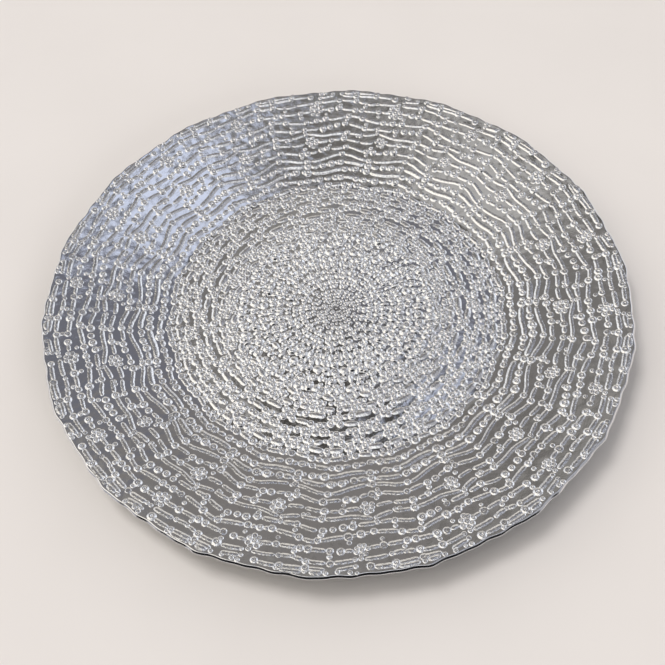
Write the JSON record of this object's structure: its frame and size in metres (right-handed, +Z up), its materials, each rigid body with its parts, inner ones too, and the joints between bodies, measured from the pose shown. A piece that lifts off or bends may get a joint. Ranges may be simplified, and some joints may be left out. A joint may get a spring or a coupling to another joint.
{
  "type": "charger plate",
  "caption": "Round silvered glass charger plate with a flat well, a wide sloping rim and a softly lobed edge, pressed all over with rows of beads and bars; it sits under a dinner plate.",
  "frame": {"origin": "centre of the base, on the surface that the plate stands on", "axes": "+Z up out of the well, along the plate's axis; +Y away from the viewer of the picture"},
  "size_m": [0.331, 0.3292, 0.0225],
  "materials": {
    "pressed_glass": "fire-polished, clear with a faint green cast at the edge",
    "silver": "bright mirror film over pressed relief",
    "lacquer": "clear gloss"
  },
  "bodies": {
    "root": {"glass_body": "pressed_glass", "silver_film": "silver", "clear_lacquer": "lacquer"}
  },
  "joints": []
}
